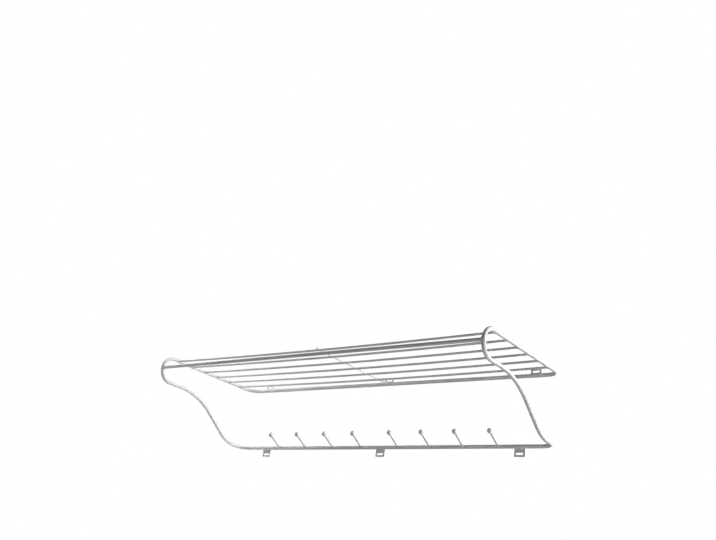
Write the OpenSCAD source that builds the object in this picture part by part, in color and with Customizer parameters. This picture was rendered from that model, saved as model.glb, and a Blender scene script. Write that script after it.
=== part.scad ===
// Wall rack of bent round rod: a wire shelf above a rail of coat pegs.
// X runs along the wall, +Y into the wall, +Z up. The wall is the plane y = 0
// and the lower rail's centre line lies at z = 0.

/* [Frame] */
// Width over the two side bows
rack_w = 850; // [600:10:1100]
// Depth from the wall to the front of the side bows
rack_d = 308; // [285:1:360]
// Height between the centre lines of the two wall rails
rail_gap = 144; // [120:1:160]
// Diameter of the round rod that the frame is bent from
frame_d = 8; // [7.5:0.5:12]
// Diameter of the bar between the two noses
bar_d = 7; // [5:0.5:7.5]

/* [Side bows] */
// Centre-line radius of the bends where a bow turns into the wall rails
corner_r = 28; // [20:1:32]
// Straight run between the lower corner and the first bend upwards
foot_run = 1; // [0.5:0.5:10]
// Centre-line radius of the bend that turns the bow up from the lower rail
rise_r = 90; // [70:1:115]
// Centre-line radius of the bend that levels the bow out below its nose
crest_r = 170; // [120:1:205]
// Slope of the climb between these two bends, as its rise for each unit forward
climb_slope = 0.75; // [0.6:0.01:0.95]
// Centre-line radius of the half-round nose at the front
nose_r = 28; // [20:1:34]

/* [Shelf] */
// Diameter of the shelf wires
wire_d = 4.5; // [3:0.5:7]
// Sag of the shelf wires at mid width, below their ends
wire_sag = 3.5; // [1:0.5:8]
// Distance from the upper rail to the nearest shelf wire
rear_wire_out = 46; // [32:1:60]
// Spacing of the shelf wires
wire_pitch = 41; // [30:0.5:44]
// Distance of the front wire behind the front of the nose
front_wire_in = 43; // [36:1:60]
// Diameter of the strut that lies across the wires at mid width
strut_d = 4; // [3:0.5:7]

/* [Coat pegs] */
// Diameter of the peg wire
peg_d = 5; // [4:0.5:7]
// Length of a peg from the rail's centre line to the centre of its ball
peg_reach = 45; // [30:1:70]
// Slope of a peg above the horizontal, in degrees
peg_a = 30; // [15:1:50]
// Diameter of the ball on a peg's tip
ball_d = 11; // [9:0.5:16]
// Distance of the outermost pegs from the centre lines of the bows
peg_end_in = 125; // [60:1:150]
// Spacing of the two middle pegs, which leaves room for the middle bracket
peg_mid_gap = 100; // [60:1:120]

/* [Wall brackets] */
// Width of a bracket
bracket_w = 24; // [22:0.5:36]
// Thickness of the sheet
bracket_t = 2; // [1.5:0.5:4]
// Distance from the upper rail's centre line up to the free end of its brackets
upper_bracket_reach = 16; // [15:0.5:30]
// Distance from the lower rail's centre line down to the free end of its brackets
lower_bracket_reach = 19.5; // [16:0.5:34]
// Distance that a bracket laps past the rail's centre line behind it
bracket_lap = 2; // [1:0.5:8]
// Radius of the two free corners
bracket_corner_r = 2; // [1:0.5:4]
// Length of the screw slot
slot_l = 16; // [9:0.5:17]
// Width of the screw slot
slot_w = 5; // [4:0.5:6]
// Sheet left between the slot and the free end
slot_edge = 3.5; // [3:0.5:5]
// Distance of the outer brackets on the upper rail from the centre lines of the bows
upper_bracket_in = 55; // [45:1:160]
// Distance of the outer brackets on the lower rail from the centre lines of the bows
lower_bracket_in = 79; // [45:1:160]

/* [Fits] */
// Gap left where a rod's end meets another rod
seat = 0.1; // [0.05:0.05:0.3]

/* [Hidden] */
$fn = 64;
coat = [0.94, 0.94, 0.93];

// Centre line of the rails in front of the wall, and of each bow from the middle
rail_y = -(bracket_t + frame_d / 2);
bow_x = (rack_w - frame_d) / 2;
// Forward reach of the nose's centre line from the rails
bow_d = rack_d - bracket_t - frame_d;
// Height of the run below the nose, and of the middle of the nose
chin_z = rail_gap - 2 * nose_r;
nose_z = chin_z + nose_r;
// Straight lengths that close the bow between its bends
climb_a = atan(climb_slope);
climb_run = (chin_z - (rise_r + crest_r) * (1 - cos(climb_a))) / sin(climb_a);
climb_d = (rise_r + crest_r) * sin(climb_a) + climb_run * cos(climb_a);
chin_run = bow_d - nose_r - corner_r - foot_run - climb_d;
arm_run = bow_d - nose_r - corner_r;
// Length of a rail between its two butt joints
rail_l = 2 * (bow_x - corner_r);

// One line per bend, as set on a tube bender:
// straight run before it, centre-line radius, angle, turn of the bending plane
bow_bends = [
    [0, corner_r, 90, 180],
    [foot_run, rise_r, climb_a, -90],
    [climb_run, crest_r, climb_a, 180],
    [chin_run, nose_r, 180, 180],
    [arm_run, corner_r, 90, 90],
];

// Wires behind the front one, and how far each wire stands out from the rails
spaced_wires = 5;
function wire_out(i) = i == 1
    ? bow_d - front_wire_in
    : rear_wire_out + (spaced_wires + 1 - i) * wire_pitch;
// Distance of a wire's two ends from the middle
wire_end_x = bow_x - frame_d / 2 - seat;
// Long arc in which each wire sags, half the angle it spans, and the facets
// of a full turn of it
wire_bend_r = (pow(wire_end_x, 2) + pow(wire_sag, 2)) / (2 * wire_sag);
wire_half_a = asin(wire_end_x / wire_bend_r);
wire_facets = 7200;

// Pegs run 1 to 8 from left to right, in two groups with a wider gap between them
pegs_a_side = 4;
peg_pitch = (bow_x - peg_end_in - peg_mid_gap / 2) / (pegs_a_side - 1);
function peg_x(i) = i > pegs_a_side
    ? peg_mid_gap / 2 + (i - pegs_a_side - 1) * peg_pitch
    : -(peg_mid_gap / 2 + (pegs_a_side - i) * peg_pitch);
// The peg meets a flat on its ball that is as wide as the peg
ball_flat = sqrt(pow(ball_d / 2, 2) - pow(peg_d / 2, 2));

// Straight round rod along +X from the origin
module straight(length, d) {
    rotate([0, 90, 0]) cylinder(d = d, h = length);
}

// Round rod that leaves the origin along +X and turns left
module bend(radius, angle, d) {
    translate([0, radius, 0])
        rotate([0, 0, -90])
            rotate_extrude(angle = angle)
                translate([radius, 0]) circle(d = d);
}

// Rod bent from a table of bends, each starting where the last one ends
module bent_rod(bends, d, i = 0) {
    if (i < len(bends)) {
        run = bends[i][0];
        radius = bends[i][1];
        angle = bends[i][2];
        roll = bends[i][3];
        if (run > 0) straight(run, d);
        translate([run, 0, 0]) rotate([roll, 0, 0]) {
            bend(radius, angle, d);
            translate([0, radius, 0])
                rotate([0, 0, angle])
                    translate([0, -radius, 0])
                        bent_rod(bends, d, i + 1);
        }
    }
}

// The right-hand bow, from the lower rail's end round to the upper rail's end
module side_bow() {
    color(coat)
        translate([rail_l / 2, rail_y, 0])
            bent_rod(bow_bends, frame_d);
}

module side_bow_right() {
    side_bow();
}

module side_bow_left() {
    mirror([1, 0, 0]) side_bow();
}

// A wall rail butts between the two bows
module wall_rail(z) {
    color(coat)
        translate([-rail_l / 2, rail_y, z])
            straight(rail_l, frame_d);
}

module wall_rail_upper() {
    wall_rail(rail_gap);
}

module wall_rail_lower() {
    wall_rail(0);
}

// Bar between the foremost points of the two noses, coped to both
module front_bar() {
    color(coat) difference() {
        translate([-bow_x, rail_y - bow_d, nose_z])
            straight(2 * bow_x, bar_d);
        for (side = [-1, 1])
            translate([side * bow_x, rail_y - bow_d + nose_r, nose_z])
                rotate([0, 90, 0])
                    rotate_extrude()
                        translate([nose_r, 0]) circle(d = frame_d + 2 * seat);
    }
}

// Shelf wire that sags between the arms of the bows, cut off square at both
module shelf_wire(i) {
    color(coat)
        translate([0, rail_y - wire_out(i), rail_gap - wire_sag])
            translate([0, 0, wire_bend_r])
                rotate([90, 0, 0])
                    rotate([0, 0, -90 - wire_half_a])
                        rotate_extrude(angle = 2 * wire_half_a, $fn = wire_facets)
                            translate([wire_bend_r, 0]) circle(d = wire_d);
}

// Strut that lies on the sagging wires, from the crown of the front one back
// to the upper rail
module centre_strut() {
    color(coat) difference() {
        translate([0, rail_y - wire_out(1), rail_gap - wire_sag + (wire_d + strut_d) / 2])
            rotate([-90, 0, 0])
                cylinder(d = strut_d, h = wire_out(1));
        translate([-strut_d, rail_y, rail_gap])
            straight(2 * strut_d, frame_d + 2 * seat);
    }
}

// Carries its children to a peg's foot on the lower rail, with +Z along the peg
module at_peg(i) {
    translate([peg_x(i), rail_y, 0])
        rotate([90 - peg_a, 0, 0])
            children();
}

// Peg coped to the lower rail
module peg(i) {
    color(coat) difference() {
        at_peg(i) cylinder(d = peg_d, h = peg_reach - ball_flat);
        translate([peg_x(i) - peg_d, rail_y, 0])
            straight(2 * peg_d, frame_d + 2 * seat);
    }
}

// Ball on a peg's tip, flat where the peg meets it
module peg_ball(i) {
    color(coat) at_peg(i) translate([0, 0, peg_reach])
        difference() {
            sphere(d = ball_d);
            translate([0, 0, -ball_flat - ball_d])
                cylinder(d = ball_d, h = ball_d);
        }
}

// Round-ended slot through a sheet that lies in the XZ plane
module slot(length, width) {
    straight_l = length - width;
    for (side = [-1, 1])
        translate([side * straight_l / 2, bracket_t, 0])
            rotate([90, 0, 0]) cylinder(d = width, h = 3 * bracket_t);
    translate([-straight_l / 2, -2 * bracket_t, -width / 2])
        cube([straight_l, 3 * bracket_t, width]);
}

// Bracket that reaches up from a rail at z = 0, with its back on the wall
module bracket(reach) {
    corner_z = reach - bracket_corner_r;
    corner_x = bracket_w / 2 - bracket_corner_r;
    color(coat) difference() {
        union() {
            translate([-bracket_w / 2, -bracket_t, -bracket_lap])
                cube([bracket_w, bracket_t, bracket_lap + corner_z]);
            translate([-corner_x, -bracket_t, -bracket_lap])
                cube([2 * corner_x, bracket_t, bracket_lap + reach]);
            for (side = [-1, 1])
                translate([side * corner_x, 0, corner_z])
                    rotate([90, 0, 0]) cylinder(r = bracket_corner_r, h = bracket_t);
        }
        translate([0, 0, reach - slot_edge - slot_w / 2])
            slot(slot_l, slot_w);
    }
}

// Brackets run 1 to 3 from left to right, the middle one at mid width
module upper_bracket(i) {
    translate([(i - 2) * (bow_x - upper_bracket_in), 0, rail_gap])
        bracket(upper_bracket_reach);
}

module lower_bracket(i) {
    translate([(i - 2) * (bow_x - lower_bracket_in), 0, 0])
        mirror([0, 0, 1])
            bracket(lower_bracket_reach);
}

side_bow_left();
side_bow_right();
wall_rail_upper();
wall_rail_lower();
front_bar();
centre_strut();
for (i = [1 : spaced_wires + 1])
    shelf_wire(i);
for (i = [1 : 2 * pegs_a_side]) {
    peg(i);
    peg_ball(i);
}
for (i = [1 : 3]) {
    upper_bracket(i);
    lower_bracket(i);
}
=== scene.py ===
"""Wall rack of bent round steel rod, powder coated white.

A wire hat shelf stands out from the wall, above a rail of coat pegs with ball tips.
"""

import math

import bmesh
import bpy
from mathutils import Matrix, Vector


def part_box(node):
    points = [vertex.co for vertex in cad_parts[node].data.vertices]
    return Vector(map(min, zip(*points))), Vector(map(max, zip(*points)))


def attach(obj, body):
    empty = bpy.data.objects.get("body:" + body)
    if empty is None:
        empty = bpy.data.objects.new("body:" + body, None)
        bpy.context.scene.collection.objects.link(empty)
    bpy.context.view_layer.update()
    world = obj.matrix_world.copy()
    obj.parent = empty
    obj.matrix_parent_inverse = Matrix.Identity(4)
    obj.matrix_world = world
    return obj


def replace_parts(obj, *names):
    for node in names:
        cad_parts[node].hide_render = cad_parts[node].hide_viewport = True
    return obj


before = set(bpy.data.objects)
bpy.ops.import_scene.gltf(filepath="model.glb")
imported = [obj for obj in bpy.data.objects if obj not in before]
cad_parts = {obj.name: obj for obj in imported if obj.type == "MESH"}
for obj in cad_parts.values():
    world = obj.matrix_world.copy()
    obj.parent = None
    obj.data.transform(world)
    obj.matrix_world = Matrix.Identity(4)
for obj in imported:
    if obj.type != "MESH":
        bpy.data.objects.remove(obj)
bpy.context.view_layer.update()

MM = 0.001
LEFT_AND_RIGHT = (-1, 1)
WIRES = range(1, 7)
PEGS = range(1, 9)
BRACKETS = range(1, 4)

# ---------------------------------------------------------------------------
# Sizes that the joints follow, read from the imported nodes
# ---------------------------------------------------------------------------


def middle(node_name):
    """The middle of a node's box."""
    low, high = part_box(node_name)
    return (low + high) / 2


def half_size(node_name):
    """Half of each side of a node's box. Across a straight rod it is the radius."""
    low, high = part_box(node_name)
    return (high - low) / 2


rod_r = half_size("wall_rail_upper").z
rail_y, shelf_z = middle("wall_rail_upper").yz
lower_z = middle("wall_rail_lower").z
bow_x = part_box("side_bow_right")[1].x - rod_r
bar = middle("front_bar")
bar_r = half_size("front_bar").z
peg_r = half_size("peg_1").x
strut_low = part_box("centre_strut")[0]
strut_z = middle("centre_strut").z
strut_r = half_size("centre_strut").x
# the wires sag from the height of the arms in a flat arc, which is steepest at its two ends
wire_half = half_size("shelf_wire_1")
wire_r = wire_half.y
wire_sag = 2 * (wire_half.z - wire_r)
wire_end_slope = 2 * wire_sag / wire_half.x

# ---------------------------------------------------------------------------
# Materials
# ---------------------------------------------------------------------------


def linear(hex_colour):
    """An sRGB hex value as a linear colour."""
    channels = [int(hex_colour[i : i + 2], 16) / 255 for i in (1, 3, 5)]
    low = [c / 12.92 if c <= 0.04045 else ((c + 0.055) / 1.055) ** 2.4 for c in channels]
    return (*low, 1.0)


def add(tree, kind, links=(), **settings):
    """Adds a node.

    settings are its properties, and links are its inputs: a value, or another node's output.
    """
    node = tree.nodes.new(kind)
    for name, value in settings.items():
        setattr(node, name, value)
    for socket, value in dict(links).items():
        if isinstance(value, bpy.types.NodeSocket):
            tree.links.new(value, node.inputs[socket])
        else:
            node.inputs[socket].default_value = value
    return node


# the film's thickness drifts over about a hand's width, from one pass of the gun to the next
FILM_DRIFT = 70 * MM
ROUGHNESS_DRIFT = 0.08
# real orange peel has cells of 0.5 to 3 mm, and real haze of about 0.1 mm. The photo's camera is
# too far off to show either, and both are drawn coarse enough to show in a close view
PEEL_CELL = 2.5 * MM
HAZE_CELL = 0.6 * MM
HAZE_SHARE_OF_PEEL = 0.12


def powder_coat(name, peel, roughness):
    """White polyester powder, sprayed on charged steel and baked until it flows.

    The melt levels into a satin skin with a faint orange peel, peel millimetres deep, under a
    finer haze. It hides the steel, and where the film is thin it looks a shade greyer.
    """
    material = bpy.data.materials.new(name)
    material.use_nodes = True
    tree = material.node_tree
    tree.nodes.clear()
    place = add(tree, "ShaderNodeTexCoord").outputs["Object"]

    def noise(cell, detail):
        links = {"Vector": place, "Scale": 1 / cell, "Detail": detail}
        return add(tree, "ShaderNodeTexNoise", links).outputs["Fac"]

    # nearly all of the noise lies between 0.3 and 0.7
    thickness = noise(FILM_DRIFT, detail=2.0)
    film = add(tree, "ShaderNodeValToRGB", {"Fac": thickness})
    thin, thick = film.color_ramp.elements
    thin.position, thin.color = 0.35, linear("#E9E9E7")
    thick.position, thick.color = 0.65, linear("#F1F1EF")
    satin = add(
        tree,
        "ShaderNodeMapRange",
        {
            "Value": thickness,
            "From Min": 0.3,
            "From Max": 0.7,
            "To Min": roughness,
            "To Max": roughness + ROUGHNESS_DRIFT,
        },
    )
    peeled = add(
        tree,
        "ShaderNodeBump",
        {"Height": noise(PEEL_CELL, detail=1.0), "Distance": peel * MM, "Strength": 1.0},
    )
    skin = add(
        tree,
        "ShaderNodeBump",
        {
            "Height": noise(HAZE_CELL, detail=0.0),
            "Distance": HAZE_SHARE_OF_PEEL * peel * MM,
            "Strength": 1.0,
            "Normal": peeled.outputs["Normal"],
        },
    )
    shader = add(
        tree,
        "ShaderNodeBsdfPrincipled",
        {
            "Base Color": film.outputs["Color"],
            "Metallic": 0.0,
            "Roughness": satin.outputs["Result"],
            "IOR": 1.5,
            "Normal": skin.outputs["Normal"],
        },
    )
    add(tree, "ShaderNodeOutputMaterial", {"Surface": shader.outputs["BSDF"]})
    return material


# the coat lies evenly on drawn rod, a little duller on the flat of punched sheet, and rougher
# over the ripples of a weld, where it gathers
rod_coat = powder_coat("powder_coated_drawn_rod", peel=0.035, roughness=0.40)
sheet_coat = powder_coat("powder_coated_punched_sheet", peel=0.030, roughness=0.43)
weld_coat = powder_coat("powder_coated_weld", peel=0.050, roughness=0.46)

for node_name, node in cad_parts.items():
    coat = sheet_coat if "bracket" in node_name else rod_coat
    node.data.materials.clear()
    node.data.materials.append(coat)

# ---------------------------------------------------------------------------
# Pieces
# ---------------------------------------------------------------------------

# how close two points are to be one, how flat faces lie to be joined, and what counts as sharp
SAME_POINT = 0.001 * MM
FLAT_WITHIN = math.radians(1)
SHARP_OVER = math.radians(60)
# a direction along which no two points of a piece lie side by side
SWEEP = Vector((0.7301, 0.5909, 0.3432))


def in_scene(name, data):
    """A new object in the scene."""
    made = bpy.data.objects.new(name, data)
    bpy.context.scene.collection.objects.link(made)
    return made


def put_in_order(shape):
    """Sorts the points and faces of a mesh, which the operators leave in another order each run."""
    shape.verts.sort(key=lambda v: v.co.dot(SWEEP))
    shape.verts.index_update()
    count = len(shape.verts)

    def place(face):
        first, second, third = sorted(v.index for v in face.verts)[:3]
        return (first * count + second) * count + third

    shape.faces.sort(key=place)


def piece(name, shape, coat=weld_coat, flat_over=math.inf):
    """Makes a mesh in bmesh a piece of the rack. Faces larger than flat_over are shaded flat."""
    bmesh.ops.recalc_face_normals(shape, faces=shape.faces)
    put_in_order(shape)
    mesh = bpy.data.meshes.new(name)
    shape.to_mesh(mesh)
    shape.free()
    for face in mesh.polygons:
        face.use_smooth = face.area < flat_over
    mesh.materials.append(coat)
    made = in_scene(name, mesh)
    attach(made, "root")
    return made


def eased(node_name, picked, radius, coat, flat_over=math.inf):
    """Shows a node by a copy of it, with those of its sharp edges rounded that picked() names."""
    shape = bmesh.new()
    shape.from_mesh(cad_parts[node_name].data)
    bmesh.ops.remove_doubles(shape, verts=shape.verts, dist=SAME_POINT)
    bmesh.ops.dissolve_limit(
        shape, angle_limit=FLAT_WITHIN, verts=shape.verts, edges=shape.edges
    )
    sharp = [e for e in shape.edges if e.calc_face_angle(0) > SHARP_OVER and picked(e)]
    bmesh.ops.bevel(
        shape,
        geom=sharp,
        offset=radius,
        affect="EDGES",
        segments=3,
        profile=0.5,
        material=-1,
        clamp_overlap=True,
    )
    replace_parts(piece(f"eased_{node_name}", shape, coat, flat_over), node_name)


# the punched sheet has sharp edges, which the coat rounds as it flows. The flats of a bracket are
# larger than SHEET_FLAT, and the facets of its curves are smaller
SHEET_ROUND = 0.35 * MM
SHEET_FLAT = 3 * MM * MM
for row in ("upper", "lower"):
    for i in BRACKETS:
        eased(
            f"{row}_bracket_{i}",
            picked=lambda edge: True,
            radius=SHEET_ROUND,
            coat=sheet_coat,
            flat_over=SHEET_FLAT,
        )

# the strut's free end is filed round, so that nobody scratches a hand on it
STRUT_ROUND = 0.5 * strut_r
STRUT_FACE = strut_low.y + 0.01 * MM
eased(
    "centre_strut",
    picked=lambda edge: all(v.co.y < STRUT_FACE for v in edge.verts),
    radius=STRUT_ROUND,
    coat=rod_coat,
)

# ---------------------------------------------------------------------------
# Welds
# ---------------------------------------------------------------------------

# the middle of a bead stands clear of both skins by this share of the bead's radius
BEAD_CLEAR = 0.15
# what is left of a bead where the two skins meet almost flush
BEAD_RUN_OUT = 0.3
# how much a bead swells at each ripple, round a ring and along a run, and the run's ripples apart
RING_RIPPLE = 0.10
RUN_RIPPLE = 0.09
RUN_PITCH = 1.6 * MM


def turned_to(direction, across):
    """A turn that takes +Z to direction and +X as near as it can to across."""
    z = Vector(direction).normalized()
    x = Vector(across)
    x = (x - z * x.dot(z)).normalized()
    y = z.cross(x)
    return Matrix((x, y, z)).transposed().to_4x4()


def spun(shape, profile, **turn):
    """Spins a closed row of points round or along Z. Returns all the points that this makes."""
    edges = list(dict.fromkeys(e for v in profile for e in v.link_edges))
    before = set(shape.verts) - set(profile)
    bmesh.ops.spin(shape, geom=profile + edges, cent=(0, 0, 0), axis=(0, 0, 1), **turn)
    return [v for v in shape.verts if v not in before]


def weld_ring(shape, centre, direction, across, thin_r, bead_r, ripples=9, offset=0.0):
    """The bead round the end of a thin rod that meets a rod of the frame.

    centre lies on both centre lines, direction points along the thin rod and away from the joint,
    and across runs along the frame's rod. offset is how far the thin rod's centre line passes the
    other's. The bead runs out where the two skins meet almost flush.
    """
    clear = BEAD_CLEAR * bead_r
    profile = bmesh.ops.create_circle(shape, segments=12, radius=bead_r)["verts"]
    bmesh.ops.rotate(shape, verts=profile, matrix=Matrix.Rotation(math.pi / 2, 3, "X"))
    bmesh.ops.translate(shape, verts=profile, vec=(thin_r + clear, 0, 0))
    whole_turn = {"dvec": (0, 0, 0), "angle": 2 * math.pi, "use_merge": True}
    ring = spun(shape, profile, steps=60, **whole_turn)
    for v in ring:
        turn = math.atan2(v.co.y, v.co.x)
        side = min(abs(offset + thin_r * math.sin(turn)) / rod_r, 1.0)
        grip = math.sqrt(1 - side**2)
        size = BEAD_RUN_OUT + (1 - BEAD_RUN_OUT) * grip
        size *= 1 + RING_RIPPLE * math.sin(ripples * turn)
        reach = thin_r + (math.hypot(v.co.x, v.co.y) - thin_r) * size
        v.co.x, v.co.y = reach * math.cos(turn), reach * math.sin(turn)
        v.co.z = v.co.z * size + rod_r * grip + clear
    bmesh.ops.transform(
        shape, verts=ring, matrix=Matrix.Translation(centre) @ turned_to(direction, across)
    )


def weld_run(shape, start, end, bead_r):
    """A straight run of weld between two points, laid in ripples and drawn in at both ends."""
    along = Vector(end) - Vector(start)
    half = along.length / 2
    profile = bmesh.ops.create_circle(shape, segments=14, radius=bead_r)["verts"]
    bmesh.ops.translate(shape, verts=profile, vec=(0, 0, -half))
    steps = 48
    straight_on = {"dvec": (0, 0, 2 * half / steps), "angle": 0, "use_merge": False}
    run = spun(shape, profile, steps=steps, **straight_on)
    for v in run:
        # the sixth power keeps the width nearly to the ends
        drawn_in = math.sqrt(max(1 - (v.co.z / half) ** 6, 0.0))
        size = drawn_in * (1 + RUN_RIPPLE * math.cos(math.pi * v.co.z / RUN_PITCH) ** 2)
        v.co.x *= size
        v.co.y *= size
    turn = along.to_track_quat("Z", "Y").to_matrix().to_4x4()
    halfway = (Vector(start) + Vector(end)) / 2
    bmesh.ops.transform(shape, verts=run, matrix=Matrix.Translation(halfway) @ turn)
    bmesh.ops.remove_doubles(shape, verts=run, dist=SAME_POINT)


def weld_nugget(shape, at, width, height):
    """The flat bead that a spot weld squeezes out between two crossed wires."""
    made = bmesh.ops.create_icosphere(shape, subdivisions=3, radius=1.0)["verts"]
    bmesh.ops.scale(shape, verts=made, vec=(width / 2, width / 2, height / 2))
    bmesh.ops.translate(shape, verts=made, vec=at)


for i in WIRES:
    shape = bmesh.new()
    for side in LEFT_AND_RIGHT:
        weld_ring(
            shape,
            centre=(side * bow_x, middle(f"shelf_wire_{i}").y, shelf_z),
            direction=(-side, 0, -wire_end_slope),
            across=(0, 1, 0),
            thin_r=wire_r,
            bead_r=1.1 * MM,
        )
    piece(f"weld_shelf_wire_{i}", shape)

shape = bmesh.new()
for side in LEFT_AND_RIGHT:
    weld_ring(
        shape,
        centre=(side * bow_x, bar.y, bar.z),
        direction=(-side, 0, 0),
        across=(0, 0, 1),
        thin_r=bar_r,
        bead_r=1.4 * MM,
        ripples=14,
    )
piece("weld_front_bar", shape)

# the strut is spot welded where it crosses the wires, clear of its rounded end, and has a bead
# where it meets the rail
shape = bmesh.new()
for i in WIRES:
    nugget_y = max(middle(f"shelf_wire_{i}").y, strut_low.y + STRUT_ROUND)
    weld_nugget(
        shape, at=(0, nugget_y, strut_low.z), width=1.5 * wire_r, height=0.8 * wire_r
    )
weld_ring(
    shape,
    centre=(0, rail_y, strut_z),
    direction=(0, -1, 0),
    across=(1, 0, 0),
    thin_r=strut_r,
    bead_r=1.0 * MM,
    offset=strut_z - shelf_z,
)
piece("weld_centre_strut", shape)

# each bracket has two runs of weld, one over the sheet's lapped end, and one in the wedge between
# rail and sheet on the side of its slot. PROUD is how far a bead's middle stands off the sheet
LAP_PROUD, LAP_BEAD = 0.3 * MM, 0.9 * MM
WEDGE_PROUD, WEDGE_BEAD = 0.8 * MM, 1.1 * MM
RAIL_TO_WEDGE = 3.1 * MM
SIDE_TO_RUN = 2.5 * MM
for row, rail_z, slot_side in (("upper", shelf_z, 1), ("lower", lower_z, -1)):
    for i in BRACKETS:
        low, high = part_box(f"{row}_bracket_{i}")
        lap_z = low.z if slot_side > 0 else high.z
        wedge_z = rail_z + RAIL_TO_WEDGE * slot_side
        shape = bmesh.new()
        for run_z, proud, bead_r in (
            (lap_z, LAP_PROUD, LAP_BEAD),
            (wedge_z, WEDGE_PROUD, WEDGE_BEAD),
        ):
            weld_run(
                shape,
                start=(low.x + SIDE_TO_RUN, low.y - proud, run_z),
                end=(high.x - SIDE_TO_RUN, low.y - proud, run_z),
                bead_r=bead_r,
            )
        piece(f"weld_{row}_bracket_{i}", shape)

for i in PEGS:
    ball = middle(f"peg_ball_{i}")
    foot = Vector((ball.x, rail_y, lower_z))
    shape = bmesh.new()
    weld_ring(
        shape,
        centre=foot,
        direction=ball - foot,
        across=(1, 0, 0),
        thin_r=peg_r,
        bead_r=1.1 * MM,
    )
    piece(f"weld_peg_{i}", shape)

# ---------------------------------------------------------------------------
# Camera, at the photo's viewing angle
# ---------------------------------------------------------------------------

IMAGE_W = 716
FOCAL_PX = 913.59
SENSOR_MM = 36.0
CAMERA_AT = (1.2170, -1.6040, -0.3896)
YAW, PITCH, ROLL = (math.radians(a) for a in (40.2978, 21.6687, 8.5816))

forward = Vector(
    (-math.sin(YAW) * math.cos(PITCH), math.cos(YAW) * math.cos(PITCH), math.sin(PITCH))
)
level = Vector((math.cos(YAW), math.sin(YAW), 0))
upright = level.cross(forward)
right = math.cos(ROLL) * level + math.sin(ROLL) * upright
up = math.cos(ROLL) * upright - math.sin(ROLL) * level

camera = in_scene("camera", bpy.data.cameras.new("camera"))
camera.data.sensor_fit = "HORIZONTAL"
camera.data.sensor_width = SENSOR_MM
camera.data.lens = FOCAL_PX * SENSOR_MM / IMAGE_W
camera.data.clip_start = 0.05
camera.data.clip_end = 50
facing = Matrix((right, up, -forward)).transposed().to_4x4()
camera.matrix_world = Matrix.Translation(CAMERA_AT) @ facing
bpy.context.scene.camera = camera

# ---------------------------------------------------------------------------
# Studio
# ---------------------------------------------------------------------------

# the rack hangs on a wall, so the floor of the hall lies well below it
FLOOR_Z = -1.75
floor_shape = bmesh.new()
bmesh.ops.create_grid(floor_shape, x_segments=1, y_segments=1, size=6)
bmesh.ops.translate(floor_shape, verts=floor_shape.verts, vec=(0, 0, FLOOR_Z))
floor_mesh = bpy.data.meshes.new("studio_floor")
floor_shape.to_mesh(floor_mesh)
floor_shape.free()
floor = in_scene("studio_floor", floor_mesh)
# it glows a little, like a light table, so that it is pale and even from every side
floor_paint = bpy.data.materials.new("matt_floor_paint")
floor_paint.use_nodes = True
floor_shader = floor_paint.node_tree.nodes["Principled BSDF"]
for socket, value in (
    ("Base Color", linear("#4A4A49")),
    ("Roughness", 0.9),
    ("Emission Color", linear("#C9C9C7")),
    ("Emission Strength", 1.0),
):
    floor_shader.inputs[socket].default_value = value
floor_mesh.materials.append(floor_paint)
# the light that a pale floor throws back up is kept off the rack, as by a dark cloth
floor.visible_diffuse = False
floor.visible_glossy = False

RACK_MIDDLE = (0, -0.15, 0.08)
LEFT_END = (-0.42, -0.15, 0.08)
LEFT_NOSE = (-0.42, -0.20, 0.10)
FAR = {"distance": 2.0, "size": 1.3}
NEAR = {"distance": 0.75, "size": 0.5}
CLOSE = {"distance": 0.42, "size": 0.3}


def softbox(name, aim, azimuth, height, watts, distance, size):
    """A soft square light that points at a place on the rack.

    azimuth and height are in degrees, seen from that place: 0 is the middle of the room, 90 the
    right-hand end of the wall, and more than 90 lies behind the plane of the wall.
    """
    turned, raised = math.radians(azimuth), math.radians(height)
    reach = math.cos(raised)
    back = Vector((math.sin(turned) * reach, -math.cos(turned) * reach, math.sin(raised)))
    lamp = bpy.data.lights.new(name, "AREA")
    lamp.shape = "SQUARE"
    lamp.size = size
    lamp.energy = watts
    place = Matrix.Translation(Vector(aim) + distance * back)
    box = in_scene(name, lamp)
    box.matrix_world = place @ back.to_track_quat("Z", "Y").to_matrix().to_4x4()


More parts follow.
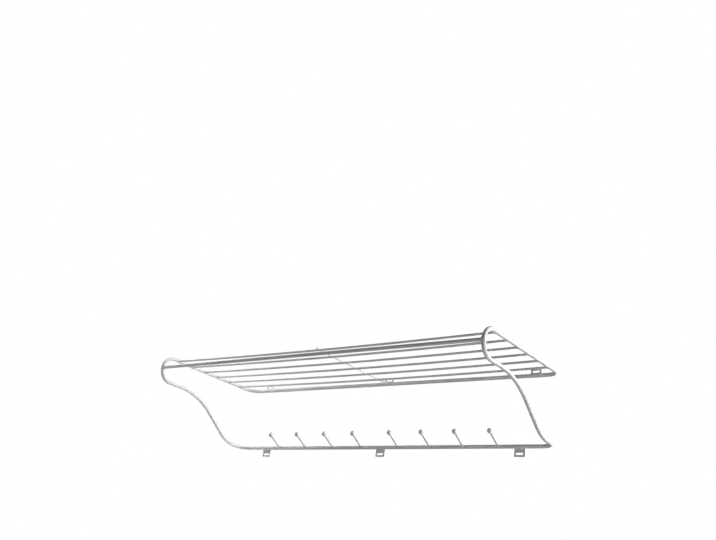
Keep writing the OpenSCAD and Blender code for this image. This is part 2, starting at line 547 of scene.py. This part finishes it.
# large softboxes to the right light the whole rack, and small ones stand near its left end,
# which is paler than the rest
softbox("softbox_right_back", RACK_MIDDLE, azimuth=135, height=10, watts=39.2, **FAR)
softbox("softbox_right_high", RACK_MIDDLE, azimuth=112, height=28, watts=19.5, **FAR)
softbox("softbox_right_low", RACK_MIDDLE, azimuth=67, height=-40, watts=14.9, **FAR)
softbox("softbox_left_top", LEFT_END, azimuth=45, height=45, watts=1.11, **NEAR)
softbox("softbox_left_front", LEFT_NOSE, azimuth=-45, height=0, watts=0.58, **CLOSE)
softbox("softbox_left_high", LEFT_NOSE, azimuth=-90, height=50, watts=1.85, **CLOSE)
softbox("softbox_left_back", LEFT_NOSE, azimuth=-135, height=-50, watts=0.76, **CLOSE)

# only the camera sees the backdrop: a white sheet where the photo's camera looks, which fades to
# the pale grey of the studio at its sides. The rack gets next to no light from it
SHEET_WHITE_TO = math.radians(32)
SHEET_FADED_AT = math.radians(75)
STUDIO_GREY = linear("#C9C9C9")[0]
ROOM_LIGHT = 0.005
WHITE = (1, 1, 1, 1)

world = bpy.data.worlds.new("studio")
world.use_nodes = True
bpy.context.scene.world = world
sky = world.node_tree
sky.nodes.clear()
seen = add(sky, "ShaderNodeLightPath").outputs["Is Camera Ray"]
toward = add(sky, "ShaderNodeTexCoord").outputs["Generated"]
from_middle = add(sky, "ShaderNodeVectorMath", {0: toward, 1: forward}, operation="DOT_PRODUCT")
sheet = add(
    sky,
    "ShaderNodeMapRange",
    {
        "Value": from_middle.outputs["Value"],
        "From Min": math.cos(SHEET_FADED_AT),
        "From Max": math.cos(SHEET_WHITE_TO),
        "To Min": STUDIO_GREY,
        "To Max": 1.0,
    },
    interpolation_type="SMOOTHSTEP",
)
backdrop = add(
    sky, "ShaderNodeBackground", {"Color": WHITE, "Strength": sheet.outputs["Result"]}
)
room = add(sky, "ShaderNodeBackground", {"Color": WHITE, "Strength": ROOM_LIGHT})
choice = add(
    sky,
    "ShaderNodeMixShader",
    {0: seen, 1: room.outputs["Background"], 2: backdrop.outputs["Background"]},
)
add(sky, "ShaderNodeOutputWorld", {"Surface": choice.outputs["Shader"]})

bpy.context.scene.view_settings.view_transform = "Standard"
bpy.context.scene.view_settings.look = "None"
